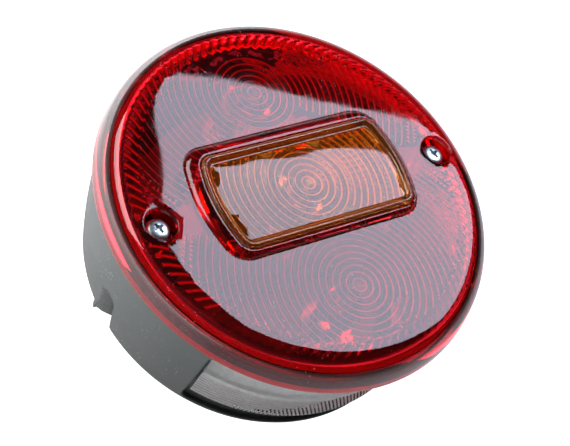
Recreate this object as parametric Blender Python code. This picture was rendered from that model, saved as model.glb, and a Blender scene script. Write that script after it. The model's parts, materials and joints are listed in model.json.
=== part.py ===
"""Round trailer tail light, 140 mm across, lying on its flat back.

Frame: metres, +Z out of the lens, origin at the centre of the rear mounting face.
The number plate window looks towards -Y, which is down when the lamp is in use.
Stop lamp above (+Y), direction indicator in the middle, tail lamp below (-Y).
"""

from math import asin, cos, degrees, pi, radians, sin, sqrt

import bmesh
import bpy

# ---------------------------------------------------------------- driving dimensions
GAP = 0.0003  # between pieces that touch

RIM_Z = 0.045  # joint face between lens and housing
LENS_RADIUS = 0.070
LENS_FACE_Z = 0.0573  # edge of the flat front face
LENS_CROWN = 0.0007  # the face is slightly domed
LENS_WALL = 0.0024
LENS_LEDGE_RADIUS = 0.063  # inner edge of the ledge that sits on the housing
LENS_LEDGE = 0.0032

REAR_RADIUS = 0.0605
FRONT_RADIUS = 0.0679
WALL_BULGE = 0.0010
WALL = 0.0030
FLOOR = 0.0025
HOUSING_TOP = RIM_Z - GAP
GROOVE = (0.0631, 0.0663, 0.0422)  # inner radius, outer radius, bottom of the seal groove

WINDOW_HALF_WIDTH = 0.0372  # amber window, at mid height
WINDOW_HALF_HEIGHT = 0.0178
WINDOW_BOW = 0.0030  # how far its short sides bow outwards
WINDOW_CORNER = 0.0050
AMBER_TOP = 0.0610
AMBER_FACE = 0.0600
AMBER_BASE = 0.0542

SCREW_X = 0.0563  # lens screws, left and right of the centre
WELL_RADIUS = 0.0054
SEAT_Z = 0.0506
SCREW_HEAD_RADIUS = 0.0040
SCREW_HEAD_TOP = 0.0550
SCREW_SHANK_RADIUS = 0.0020
SCREW_TIP_Z = 0.0300
WASHER = 0.0008
COLUMN_RADIUS = 0.0062

PLATE_HALF_ANGLE = 52.0  # number plate recess, either side of -Y, in degrees
PLATE_RECESS_RADIUS = 0.0590
PLATE_RECESS_Z = (0.0035, 0.0410)
PLATE_OPENING_Z = (0.0155, 0.0375)
PLATE_OPENING_ANGLE = 46.0
PLATE_RIDGE = (0.0634, 0.0298)  # radius and height of the clear window's ridge

NOTCH_HALF_WIDTH = 0.0052
NOTCH_TOP = 0.0190
TUNNEL_WALL = 0.0028
TUNNEL_END_X = -0.0385
GROMMET_Z = 0.0100
GROMMET_BORE = 0.0031
GROMMET_NECK = 0.0040

CARRIER_Z = (0.0160, 0.0176)
CARRIER_RADIUS = 0.053
POSTS = ((0.040, 0.025), (-0.040, 0.025), (0.034, -0.027), (-0.034, -0.027))
MOUNTING_HOLES = ((-0.0225, 0.0245), (0.0225, 0.0245))
MOUNTING_HOLE_RADIUS = 0.0033

BULB_Y = {"stop": 0.0385, "indicator": 0.0, "tail": -0.0385}
BULB_SHAPE = {"stop": (0.0125, 0.0527), "indicator": (0.0125, 0.0527), "tail": (0.0093, 0.0430)}
CAP_RADIUS = 0.0075
CAP_Z = (0.0083, 0.0245)
PIN_Z = 0.0149
PIN_RADIUS = 0.0010
PIN_REACH = 0.00895
SOCKET_RADIUS = (0.0078, 0.0084)
SOCKET_Z = (0.0042, 0.0187)
SLOT_HALF = 0.0013
TWIST = 18.0  # degrees from locked to free
STRIP_Z = (0.0028, 0.0034)
BLADE_X = -0.031
BLADE_HALF_WIDTH = 0.00315

HOUSING_STEPS = 60
LENS_STEPS = 60

# ---------------------------------------------------------------- materials


def material(name, colour, roughness, metallic=0.0, transmission=0.0):
    made = bpy.data.materials.new(name)
    made.use_nodes = True
    shader = made.node_tree.nodes["Principled BSDF"]
    shader.inputs["Base Color"].default_value = (*colour, 1.0)
    shader.inputs["Roughness"].default_value = roughness
    shader.inputs["Metallic"].default_value = metallic
    shader.inputs["Transmission Weight"].default_value = transmission
    made.diffuse_color = (*colour, 1.0)
    return made


# ---------------------------------------------------------------- mesh building


def finish(name, bm, paint, at=(0.0, 0.0), sharp=35.0):
    """Turn a bmesh into a named object whose origin lies at (x, y) on the floor plane."""
    bmesh.ops.recalc_face_normals(bm, faces=bm.faces)
    mesh = bpy.data.meshes.new(name)
    bm.to_mesh(mesh)
    bm.free()
    mesh.shade_smooth()
    mesh.set_sharp_from_angle(angle=radians(sharp))
    piece = bpy.data.objects.new(name, mesh)
    piece.location = (at[0], at[1], 0.0)
    piece.data.materials.append(paint)
    bpy.context.scene.collection.objects.link(piece)
    return piece


def loft(rings, closed=False):
    """Closed body through equal rings of points: capped at both ends, or joined into a loop."""
    bm = bmesh.new()
    loops = [[bm.verts.new(point) for point in ring] for ring in rings]
    count = len(rings[0])
    pairs = list(zip(loops, loops[1:]))
    if closed:
        pairs.append((loops[-1], loops[0]))
    for low, high in pairs:
        for i in range(count):
            j = (i + 1) % count
            bm.faces.new((low[i], low[j], high[j], high[i]))
    if not closed:
        bm.faces.new(list(reversed(loops[0])))
        bm.faces.new(loops[-1])
    return bm


def turned(profile, steps, first=0.0, last=360.0):
    """Sweep a closed (radius, z) profile around Z; a part turn gets flat ends."""
    full = last - first >= 360.0
    bm = bmesh.new()
    count = steps if full else steps + 1
    loops = []
    axis = {}
    for k in range(count):
        turn = radians(first + (last - first) * k / steps)
        loop = []
        for index, (radius, z) in enumerate(profile):
            if radius < 1e-7:
                if index not in axis:
                    axis[index] = bm.verts.new((0.0, 0.0, z))
                loop.append(axis[index])
            else:
                loop.append(bm.verts.new((radius * cos(turn), radius * sin(turn), z)))
        loops.append(loop)
    for k in range(steps):
        near, far = loops[k], loops[(k + 1) % count]
        for i in range(len(profile)):
            j = (i + 1) % len(profile)
            corners = []
            for vert in (near[i], near[j], far[j], far[i]):
                if vert not in corners:
                    corners.append(vert)
            if len(corners) > 2:
                bm.faces.new(corners)
    if not full:
        bm.faces.new(loops[0])
        bm.faces.new(list(reversed(loops[-1])))
    return bm


def prism(outline, low, high):
    """Extrude an (x, y) outline between two heights."""
    return loft([[(x, y, z) for x, y in outline] for z in (low, high)])


def circle(radius, steps):
    """Ring of points that starts half a step round, so that its corners miss the axes."""
    turns = [2 * pi * (k + 0.5) / steps for k in range(steps)]
    return [(radius * cos(t), radius * sin(t)) for t in turns]


def rectangle(x0, x1, y0, y1):
    return [(x0, y0), (x1, y0), (x1, y1), (x0, y1)]


def arch(half_width, bottom, top, steps):
    """Inverted U in (y, z): straight sides under a half round head."""
    centre = top - half_width
    head = [pi * k / steps for k in range(steps + 1)]
    points = [(half_width * cos(t), centre + half_width * sin(t)) for t in head]
    return [(half_width, bottom)] + points + [(-half_width, bottom)]


def helper(piece):
    piece.hide_render = True
    piece.display_type = "WIRE"
    return piece


def combine(target, operation, name, bm, at=(0.0, 0.0)):
    """Add a Boolean modifier whose tool is made from a bmesh."""
    tool = helper(finish(name, bm, target.data.materials[0], at))
    step = target.modifiers.new(name, "BOOLEAN")
    step.operation = operation
    step.solver = "EXACT"
    step.object = tool
    return tool


def add(target, name, bm, at=(0.0, 0.0)):
    return combine(target, "UNION", name, bm, at)


def cut(target, name, bm, at=(0.0, 0.0)):
    return combine(target, "DIFFERENCE", name, bm, at)


def trim(tool, name, bm):
    return combine(tool, "INTERSECT", name, bm)


def body(name, x=0.0, y=0.0):
    """Empty on the joint's axis that carries one moving group."""
    empty = bpy.data.objects.new(name, None)
    empty.empty_display_size = 0.01
    empty.location = (x, y, 0.0)
    bpy.context.scene.collection.objects.link(empty)
    return empty


def carry(empty, *pieces):
    for piece in pieces:
        piece.parent = empty
        piece.location.x -= empty.location.x
        piece.location.y -= empty.location.y


# ---------------------------------------------------------------- shared outlines


def wall_radius(z):
    """Outer radius of the housing wall: a slightly bulged cone."""
    t = z / HOUSING_TOP
    return REAR_RADIUS + (FRONT_RADIUS - REAR_RADIUS) * t + WALL_BULGE * 4 * t * (1 - t)


def window_outline(inset, corner_steps=3, side_steps=3):
    """The amber window's outline, offset inwards by inset (outwards where negative)."""
    half_height = WINDOW_HALF_HEIGHT
    side_radius = (half_height**2 + WINDOW_BOW**2) / (2 * WINDOW_BOW)
    side_centre = WINDOW_HALF_WIDTH - side_radius
    corner_y = half_height - WINDOW_CORNER
    reach = side_radius - WINDOW_CORNER
    corner_x = side_centre + sqrt(reach**2 - corner_y**2)
    tangent = asin(corner_y / reach)
    quarter = []
    for k in range(side_steps):
        turn = tangent * k / side_steps
        radius = side_radius - inset
        quarter.append((side_centre + radius * cos(turn), radius * sin(turn)))
    for k in range(corner_steps + 1):
        turn = tangent + (pi / 2 - tangent) * k / corner_steps
        radius = WINDOW_CORNER - inset
        quarter.append((corner_x + radius * cos(turn), corner_y + radius * sin(turn)))
    upper = quarter + [(-x, y) for x, y in reversed(quarter[1:])] + [(-quarter[0][0], 0.0)]
    return upper + [(x, -y) for x, y in reversed(upper[1:-1])]


def window_ring(inset, z):
    return [(x, y, z) for x, y in window_outline(inset)]


# ---------------------------------------------------------------- housing


def housing_profile():
    outer = [(REAR_RADIUS - 0.002, 0.0), (REAR_RADIUS - 0.0006, 0.0006)]
    outer += [(wall_radius(z), z) for z in (0.002, 0.015, 0.030, HOUSING_TOP)]
    inner_radius, outer_radius, bottom = GROOVE
    groove = [(outer_radius, HOUSING_TOP), (outer_radius, bottom)]
    groove += [(inner_radius, bottom), (inner_radius, HOUSING_TOP)]
    lip = [(0.0620, HOUSING_TOP), (0.0620, 0.0380)]
    inner = [(wall_radius(z) - WALL, z) for z in (0.028, FLOOR)]
    return [(0.0, 0.0)] + outer + groove + lip + inner + [(0.0, FLOOR)]


def plate_sector(radii, heights, half_angle, steps=17):
    (inner, outer), (low, high) = radii, heights
    profile = [(inner, low), (outer, low), (outer, high), (inner, high)]
    return turned(profile, steps, 270 - half_angle, 270 + half_angle)


def add_plate_pocket(shell):
    """Number plate recess: a liner inside the wall, a pocket from outside, an opening through."""
    low, high = 0.0015, 0.0420
    depth = 0.0015
    liner = [(0.0560, low), (wall_radius(low) - depth, low), (wall_radius(high) - depth, high)]
    liner.append((0.0560, high))
    half = PLATE_HALF_ANGLE + 3.0
    add(shell, "plate_liner_tool", turned(liner, 21, 270 - half, 270 + half))
    recess = plate_sector((PLATE_RECESS_RADIUS, 0.075), PLATE_RECESS_Z, PLATE_HALF_ANGLE)
    cut(shell, "plate_recess_tool", recess)
    opening = plate_sector((0.050, 0.070), PLATE_OPENING_Z, PLATE_OPENING_ANGLE)
    cut(shell, "plate_opening_tool", opening)


def along_x(outline, x0, x1):
    """Extrude a (y, z) outline along X."""
    return loft([[(x, y, z) for y, z in outline] for x in (x0, x1)])


def inside_wall(low, high):
    """The space up to the middle of the wall, which ribs and columns must not leave."""
    heights = [low + (high - low) * k / 4 for k in range(5)]
    edge = [(wall_radius(z) - WALL / 2, z) for z in heights]
    return turned([(0.0, low)] + edge + [(0.0, high)], 48)


def add_cable_tunnel(shell):
    """Arched channel from the notch in the wall to the grommet, with a column standing on it."""
    roof = arch(NOTCH_HALF_WIDTH + TUNNEL_WALL, -0.001, NOTCH_TOP + TUNNEL_WALL, 6)
    tunnel = add(shell, "tunnel_tool", along_x(roof, -0.070, TUNNEL_END_X))
    trim(tunnel, "tunnel_trim_tool", inside_wall(0.0011, 0.0300))
    for side, x in (("left", -SCREW_X), ("right", SCREW_X)):
        outline = prism(circle(COLUMN_RADIUS, 16), -0.001, 0.050)
        column = add(shell, f"column_{side}_tool", outline, (x, 0.0))
        trim(column, f"column_{side}_trim_tool", inside_wall(0.0013, HOUSING_TOP - 0.0002))
    void = arch(NOTCH_HALF_WIDTH, -0.005, NOTCH_TOP, 6)
    cut(shell, "notch_tool", along_x(void, -0.080, TUNNEL_END_X - 0.0025))
    hole = [(y, z + GROMMET_Z) for y, z in circle(GROMMET_NECK + GAP, 16)]
    cut(shell, "grommet_hole_tool", along_x(hole, -0.045, -0.035))


def make_housing(paint):
    shell = finish("housing_shell", turned(housing_profile(), HOUSING_STEPS), paint)
    add_plate_pocket(shell)
    add_cable_tunnel(shell)
    for index, spot in enumerate(POSTS, 1):
        post = prism(circle(0.0036, 12), 0.0012, CARRIER_Z[0] - GAP)
        add(shell, f"post_{index}_tool", post, spot)
        cut(shell, f"post_pilot_{index}_tool", prism(circle(0.0016, 8), 0.006, 0.030), spot)
    for index, spot in enumerate(MOUNTING_HOLES, 1):
        add(shell, f"mounting_pad_{index}_tool", prism(circle(0.0070, 20), 0.0012, 0.0050), spot)
        hole = prism(circle(MOUNTING_HOLE_RADIUS, 20), -0.005, 0.010)
        cut(shell, f"mounting_hole_{index}_tool", hole, spot)
    for side, x in (("left", -SCREW_X), ("right", SCREW_X)):
        cut(shell, f"insert_bore_{side}_tool", prism(circle(0.0037, 16), 0.0320, 0.050), (x, 0.0))
        pilot = prism(circle(0.0024, 16), 0.0270, 0.0325)
        cut(shell, f"screw_pilot_{side}_tool", pilot, (x, 0.0))
    return shell


def make_thread_insert(side, x, paint):
    profile = [(0.0023, 0.0323), (0.0034, 0.0323), (0.0034, 0.0444), (0.0023, 0.0444)]
    return finish(f"thread_insert_{side}", turned(profile, 16), paint, (x, 0.0))


def make_lens_seal(paint):
    inner, outer, bottom = GROOVE
    low, high = bottom + GAP, RIM_Z - GAP - 0.0002
    profile = [(inner + GAP, low), (outer - GAP, low), (outer - 0.0008, high), (inner + 0.0008, high)]
    return finish("lens_seal", turned(profile, 40), paint)


def make_plate_window(paint):
    """Clear number plate lens: a smooth slope above a ridge, a ribbed face below it."""
    inner = 0.0603
    low, high = 0.0120, PLATE_RECESS_Z[1] - 0.0005
    ridge_radius, ridge_z = PLATE_RIDGE
    profile = [(inner, low), (0.0624, low), (ridge_radius - 0.0004, ridge_z - 0.0012)]
    profile += [(ridge_radius, ridge_z), (0.0622, high), (inner, high)]
    half = PLATE_HALF_ANGLE - 1.2
    return finish("plate_window", turned(profile, 20, 270 - half, 270 + half), paint)


def make_plate_gasket(paint):
    inner = PLATE_RECESS_RADIUS + GAP
    outer = 0.0600
    frame = plate_sector((inner, outer), (0.0122, 0.0403), PLATE_HALF_ANGLE - 1.4)
    gasket = finish("plate_window_gasket", frame, paint)
    hole = plate_sector((0.055, 0.065), (0.0150, 0.0380), PLATE_OPENING_ANGLE + 0.5)
    cut(gasket, "gasket_opening_tool", hole)
    return gasket


def make_grommet(paint):
    """Rubber cable inlet in the tunnel's end wall, turned about its own axis and laid along X."""
    wall = (TUNNEL_END_X - 0.0025, TUNNEL_END_X)
    neck, bore = GROMMET_NECK, GROMMET_BORE
    profile = [(bore, wall[0] - 0.0020), (0.0047, wall[0] - 0.0020), (0.0048, wall[0] - GAP)]
    profile += [(neck, wall[0] - GAP), (neck, wall[1] + GAP), (0.0060, wall[1] + GAP)]
    profile += [(0.0056, wall[1] + 0.0019), (bore, wall[1] + 0.0019)]
    bm = turned(profile, 16)
    for vert in bm.verts:
        vert.co = (vert.co.z, vert.co.y, GROMMET_Z - vert.co.x)
    return finish("cable_grommet", bm, paint)


# ---------------------------------------------------------------- bulb carrier


def make_carrier(paint):
    low, high = CARRIER_Z
    plate = finish("carrier_plate", prism(circle(CARRIER_RADIUS, 40), low, high), paint)
    slot = rectangle(-0.070, -0.0360, -0.0090, 0.0090)
    cut(plate, "tunnel_slot_tool", prism(slot, 0.010, 0.025))
    cut(plate, "column_relief_tool", prism(circle(0.0075, 14), 0.010, 0.025), (SCREW_X, 0.0))
    for name, y in BULB_Y.items():
        cut(plate, f"{name}_hole_tool", prism(circle(0.0094, 20), 0.010, 0.025), (0.0, y))
    for index, spot in enumerate(POSTS, 1):
        cut(plate, f"carrier_hole_{index}_tool", prism(circle(0.0016, 8), 0.010, 0.025), spot)
    for index, spot in enumerate(MOUNTING_HOLES, 1):
        hole = prism(circle(0.0066, 14), 0.010, 0.025)
        cut(plate, f"spanner_hole_{index}_tool", hole, spot)
    return plate


def make_baffle(paint):
    """Wall around the indicator chamber that keeps its light out of the red lamps."""
    low, high = CARRIER_Z[1] + GAP, AMBER_BASE - 0.0004
    outer, inner = 0.0010, 0.0026
    rings = [window_ring(outer, low), window_ring(outer, high)]
    rings += [window_ring(inner, high), window_ring(inner, low)]
    return finish("indicator_baffle", loft(rings, closed=True), paint)


def make_carrier_screw(index, spot, paint):
    head_low = CARRIER_Z[1] + GAP
    profile = [(0.0, 0.0075), (0.0012, 0.0085), (0.0012, head_low), (0.0029, head_low)]
    profile += [(0.0029, head_low + 0.0009), (0.0018, head_low + 0.0019), (0.0, head_low + 0.0021)]
    return finish(f"carrier_screw_{index}", turned(profile, 12), paint, spot)


def make_feed_strip(name, y, paint):
    """Flat brass strip under one bulb, bent up into a push-on blade."""
    low, high = STRIP_Z
    thick = high - low
    bend = [(0.0040, low), (0.0040, high), (BLADE_X + thick, high), (BLADE_X + thick, 0.0125)]
    bend += [(BLADE_X, 0.0125), (BLADE_X, low)]
    half = BLADE_HALF_WIDTH
    bm = loft([[(x, side, z) for x, z in bend] for side in (-half, half)])
    return finish(f"{name}_feed_strip", bm, paint, (0.0, y))


def make_earth_strip(paint):
    low, high = 0.0106, 0.0112
    bar = rectangle(-0.0035, 0.0035, -0.045, 0.045)
    strip = finish("earth_strip", prism(bar, low, high), paint)
    for name, y in BULB_Y.items():
        eye = prism(circle(0.0112, 20), low, high)
        add(strip, f"{name}_eye_tool", eye, (0.0, y))
    tab = prism(rectangle(0.0100, 0.0300, -BLADE_HALF_WIDTH, BLADE_HALF_WIDTH), low, high)
    add(strip, "earth_tab_tool", tab)
    for name, y in BULB_Y.items():
        hole = prism(circle(SOCKET_RADIUS[1] + 0.0004, 20), low - 0.004, high + 0.004)
        cut(strip, f"{name}_eye_hole_tool", hole, (0.0, y))
    return strip


# ---------------------------------------------------------------- bulb holders and bulbs


def bayonet_slot(start):
    """J-shaped slot for one bayonet pin: down from the mouth, then round to the locked place."""
    middle = sum(SOCKET_RADIUS) / 2
    half = degrees(SLOT_HALF / middle)
    foot, head, mouth = PIN_Z - SLOT_HALF, PIN_Z + SLOT_HALF, SOCKET_Z[1] + 0.002
    outline = [(-half, foot), (TWIST + half, foot), (TWIST + half, mouth), (TWIST - half, mouth)]
    outline += [(TWIST - half, head), (-half, head)]
    rings = []
    for radius in (0.0068, 0.0125):
        ring = []
        for angle, z in outline:
            turn = radians(start + angle)
            ring.append((radius * cos(turn), radius * sin(turn), z))
        rings.append(ring)
    return loft(rings)


def make_socket(name, y, paint):
    """Bayonet shell with a flange that rests on the carrier plate."""
    inner, outer = SOCKET_RADIUS
    low, high = SOCKET_Z
    under = CARRIER_Z[1] + GAP
    profile = [(inner, low), (outer, low), (outer, under), (0.0110, under), (0.0110, high)]
    profile.append((inner, high))
    shell = finish(f"{name}_socket_shell", turned(profile, 24), paint, (0.0, y))
    for index, start in enumerate((0.0, 180.0), 1):
        cut(shell, f"{name}_slot_{index}_tool", bayonet_slot(start), (0.0, y))
    return shell


def make_contact_plate(name, y, paint):
    low, high = 0.0051, 0.0063
    profile = [(0.0024, low), (0.0075, low), (0.0075, high), (0.0024, high)]
    return finish(f"{name}_contact_plate", turned(profile, 20), paint, (0.0, y))


def make_contact_button(name, y, paint):
    profile = [(0.0, 0.0048), (0.0020, 0.0048), (0.0020, 0.0066), (0.0032, 0.0066), (0.0029, 0.0071)]
    profile.append((0.0, 0.0071))
    return finish(f"{name}_contact_button", turned(profile, 14), paint, (0.0, y))


def make_bulb_glass(name, y, paint):
    """Blown glass: a neck inside the cap's mouth, swelling to a ball."""
    radius, top = BULB_SHAPE[name]
    neck, start = 0.0068, CAP_Z[1] + GAP
    centre = top - radius
    lowest = -asin(sqrt(1 - (neck / radius) ** 2))
    steps = 7
    profile = [(0.0, start), (neck, start)]
    for k in range(steps):
        turn = lowest + (pi / 2 - lowest) * k / steps
        profile.append((radius * cos(turn), max(start + 0.0004, centre + radius * sin(turn))))
    profile.append((0.0, top))
    return finish(f"{name}_bulb_glass", turned(profile, 20), paint, (0.0, y))


def make_bulb_cap(name, y, paint):
    low, high = CAP_Z
    profile = [(0.0, low), (0.0060, low), (CAP_RADIUS, low + 0.0012), (CAP_RADIUS, high - 0.0015)]
    profile += [(0.0071, high), (0.0, high)]
    cap = finish(f"{name}_bulb_cap", turned(profile, 20), paint, (0.0, y))
    pin = [(a, PIN_Z + b) for a, b in circle(PIN_RADIUS, 10)]
    add(cap, f"{name}_pins_tool", along_x(pin, -PIN_REACH, PIN_REACH), (0.0, y))
    return cap


def make_bulb_contact(name, y, paint):
    profile = [(0.0, 0.0074), (0.0014, 0.0074), (0.0024, 0.0077), (0.0024, 0.0080), (0.0, 0.0080)]
    return finish(f"{name}_bulb_contact", turned(profile, 12), paint, (0.0, y))


# ---------------------------------------------------------------- lens


def lens_profile():
    edge = [(LENS_RADIUS, RIM_Z), (0.0699, 0.0466), (0.0685, 0.0506), (0.0671, 0.0537)]
    edge += [(0.0652, 0.0558), (0.0620, LENS_FACE_Z)]
    crown = LENS_FACE_Z + LENS_CROWN
    face = [(0.0400, LENS_FACE_Z + LENS_CROWN * 0.6), (0.0, crown)]
    inside = [(0.0, crown - LENS_WALL), (0.0590, LENS_FACE_Z - LENS_WALL), (0.0625, 0.0535)]
    inside += [(0.0646, 0.0512), (0.0655, RIM_Z + LENS_LEDGE), (LENS_LEDGE_RADIUS, RIM_Z + LENS_LEDGE)]
    return edge + face + inside + [(LENS_LEDGE_RADIUS, RIM_Z)]


def make_red_lens(paint):
    lens = finish("red_lens", turned(lens_profile(), LENS_STEPS), paint)
    collar = [window_ring(-0.0052, 0.0562), window_ring(-0.0052, 0.0577), window_ring(-0.0020, 0.0598)]
    collar += [window_ring(-0.0008, 0.0600), window_ring(0.0016, 0.0600), window_ring(0.0016, 0.0562)]
    add(lens, "collar_tool", loft(collar, closed=True))
    for side, x in (("left", -SCREW_X), ("right", SCREW_X)):
        add(lens, f"pillar_{side}_tool", prism(circle(0.0072, 20), RIM_Z + 0.0001, 0.0560), (x, 0.0))
    cut(lens, "window_hole_tool", loft([window_ring(-GAP, 0.050), window_ring(-GAP, 0.065)]))
    for side, x in (("left", -SCREW_X), ("right", SCREW_X)):
        cut(lens, f"well_{side}_tool", prism(circle(WELL_RADIUS, 20), SEAT_Z, 0.065), (x, 0.0))
        hole = prism(circle(0.0025, 12), 0.040, SEAT_Z + 0.001)
        cut(lens, f"screw_hole_{side}_tool", hole, (x, 0.0))
    return lens


def make_amber_window(paint):
    """Amber dish that stands proud of the red face, with a rounded bead round its edge."""
    rings = [window_ring(0.0026, AMBER_BASE), window_ring(0.0, AMBER_BASE), window_ring(0.0, 0.0596)]
    rings += [window_ring(0.0004, 0.0606), window_ring(0.0013, AMBER_TOP), window_ring(0.0022, 0.0606)]
    rings += [window_ring(0.0032, AMBER_FACE)]
    window = finish("amber_window", loft(rings), paint)
    hollow = loft([window_ring(0.0028, 0.050), window_ring(0.0030, AMBER_FACE - LENS_WALL)])
    cut(window, "amber_hollow_tool", hollow)
    return window


def make_lens_screw(side, x, paint):
    under = SEAT_Z + GAP + WASHER + GAP
    top = SCREW_HEAD_TOP
    shank = SCREW_SHANK_RADIUS
    profile = [(0.0, SCREW_TIP_Z), (shank - 0.0006, SCREW_TIP_Z), (shank, SCREW_TIP_Z + 0.0008)]
    profile += [(shank, under), (SCREW_HEAD_RADIUS, under), (SCREW_HEAD_RADIUS, top - 0.0011)]
    profile += [(0.0031, top - 0.0002), (0.0, top)]
    screw = finish(f"lens_screw_{side}", turned(profile, 20), paint, (x, 0.0))
    arm, half, depth = 0.0021, 0.00045, 0.0015
    wings = [(arm, -half), (arm, half), (half, half), (half, arm), (-half, arm), (-half, half)]
    wings += [(-arm, half), (-arm, -half), (-half, -half), (-half, -arm), (half, -arm), (half, -half)]
    cut(screw, f"cross_{side}_tool", prism(wings, top - depth, top + 0.002), (x, 0.0))
    return screw


def make_washer(side, x, paint):
    low = SEAT_Z + GAP
    profile = [(0.0024, low), (0.0046, low), (0.0046, low + WASHER), (0.0024, low + WASHER)]
    return finish(f"screw_washer_{side}", turned(profile, 20), paint, (x, 0.0))


# ---------------------------------------------------------------- the whole lamp


def make_lamp():
    black = material("housing_plastic", (0.035, 0.040, 0.040), 0.62)
    rubber = material("seal_rubber", (0.020, 0.020, 0.022), 0.80)
    clear = material("clear_plastic", (0.90, 0.92, 0.93), 0.12, 0.0, 0.9)
    red = material("red_plastic", (0.62, 0.010, 0.020), 0.08, 0.0, 0.8)
    amber = material("amber_plastic", (0.95, 0.33, 0.02), 0.08, 0.0, 0.8)
    white = material("reflector_plastic", (0.80, 0.80, 0.78), 0.35)
    phenolic = material("phenolic_board", (0.23, 0.11, 0.05), 0.55)
    brass = material("brass", (0.78, 0.58, 0.28), 0.30, 1.0)
    tin = material("tinned_steel", (0.62, 0.62, 0.62), 0.32, 1.0)
    zinc = material("zinc_plating", (0.62, 0.68, 0.72), 0.28, 1.0)
    nickel = material("nickel", (0.70, 0.68, 0.63), 0.25, 1.0)
    glass = material("bulb_glass", (0.95, 0.97, 0.97), 0.03, 0.0, 0.95)
    sides = (("left", -SCREW_X), ("right", SCREW_X))

    make_housing(black)
    make_plate_window(clear)
    make_plate_gasket(rubber)
    make_lens_seal(rubber)
    make_grommet(rubber)
    make_carrier(white)
    make_baffle(white)
    make_earth_strip(brass)
    for index, spot in enumerate(POSTS, 1):
        make_carrier_screw(index, spot, zinc)
    for side, x in sides:
        make_thread_insert(side, x, brass)

    for name, y in BULB_Y.items():
        make_feed_strip(name, y, brass)
        make_socket(name, y, tin)
        contact = (make_contact_plate(name, y, phenolic), make_contact_button(name, y, brass))
        carry(body(f"{name}_contact_axis", 0.0, y), *contact)
        bulb = (make_bulb_glass(name, y, glass), make_bulb_cap(name, y, nickel))
        carry(body(f"{name}_bulb_axis", 0.0, y), *bulb, make_bulb_contact(name, y, tin))

    lens_axis = body("lens_axis")
    carry(lens_axis, make_red_lens(red), make_amber_window(amber))
    for side, x in sides:
        carry(lens_axis, make_washer(side, x, rubber))
        screw_axis = body(f"lens_screw_{side}_axis", x)
        carry(screw_axis, make_lens_screw(side, x, zinc))
        carry(lens_axis, screw_axis)


def clear_scene():
    for piece in list(bpy.context.scene.objects):
        bpy.data.objects.remove(piece, do_unlink=True)


clear_scene()
make_lamp()
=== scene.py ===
"""Looks of the round trailer tail light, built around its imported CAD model.

Lengths in the mesh code are millimetres; build() turns them into the frame's metres.
The lamp lies on its flat back: +Z comes out of the lens and -Y is down when it is in use.
"""

import json
from math import asin, atan2, cos, degrees, hypot, pi, radians, sin, sqrt

import bmesh
import bpy
import numpy as np
from mathutils import Matrix, Vector
from mathutils.geometry import delaunay_2d_cdt


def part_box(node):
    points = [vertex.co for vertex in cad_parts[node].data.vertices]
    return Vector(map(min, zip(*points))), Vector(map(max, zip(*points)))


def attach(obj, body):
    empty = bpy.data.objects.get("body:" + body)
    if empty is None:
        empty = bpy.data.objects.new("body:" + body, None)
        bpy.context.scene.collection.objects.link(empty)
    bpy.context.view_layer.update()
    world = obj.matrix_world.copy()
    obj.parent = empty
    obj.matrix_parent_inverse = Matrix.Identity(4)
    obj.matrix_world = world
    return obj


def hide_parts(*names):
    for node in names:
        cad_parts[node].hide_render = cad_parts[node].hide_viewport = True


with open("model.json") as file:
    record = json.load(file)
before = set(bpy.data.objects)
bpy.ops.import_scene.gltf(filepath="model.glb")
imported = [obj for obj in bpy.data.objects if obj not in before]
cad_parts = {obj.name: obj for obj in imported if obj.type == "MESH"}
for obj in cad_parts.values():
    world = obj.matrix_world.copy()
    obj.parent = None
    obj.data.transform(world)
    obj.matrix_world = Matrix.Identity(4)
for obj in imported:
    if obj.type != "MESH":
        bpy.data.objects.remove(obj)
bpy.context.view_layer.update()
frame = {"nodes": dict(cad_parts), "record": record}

# ---------------------------------------------------------------- sizes
MM = 0.001


def box_mm(node):
    low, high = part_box(node)
    return low / MM, high / MM


LENS_LOW, LENS_HIGH = box_mm("red_lens")
AMBER_LOW, AMBER_HIGH = box_mm("amber_window")
SCREW_LOW, SCREW_HIGH = box_mm("lens_screw_right")
PLATE_LOW, PLATE_HIGH = box_mm("plate_window")

LENS_RADIUS = LENS_HIGH.x
RIM_Z = LENS_LOW.z
FACE_Z = 57.3  # edge of the flat face
CROWN = 0.7
FACE_RADIUS = 62.0
INNER_FACE_Z = 55.6  # middle of the inner face
INNER_FACE_RADIUS = 59.0
WALL_RADIUS = 63.0  # where the face sheet hands over to the turned edge
INNER_RADIUS = 63.2
OPTICS_RADIUS = 57.0  # the ring prisms end here
FOOT_RADIUS = 66.3  # the rim's underside is matt outside this radius

WINDOW_HALF_WIDTH = AMBER_HIGH.x
WINDOW_HALF_HEIGHT = AMBER_HIGH.y
WINDOW_BOW = 3.0
WINDOW_CORNER = 5.0
WINDOW_GAP = 0.3
COLLAR_FOOT = 3.9  # how far the collar reaches beyond the window
COLLAR_LEAN = 1.1  # the foot is shifted this far to the upper left
AMBER_TOP = AMBER_HIGH.z
AMBER_FACE = AMBER_TOP - 1.0
AMBER_BASE = AMBER_LOW.z

SCREW_X = (SCREW_LOW.x + SCREW_HIGH.x) / 2
SCREW_TOP = SCREW_HIGH.z
SCREW_HEAD = 4.0
WELL_RADIUS = 5.4
WELL_LIP = 0.8
SEAT_Z = 50.6
PILLAR_RADIUS = 6.4

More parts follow.
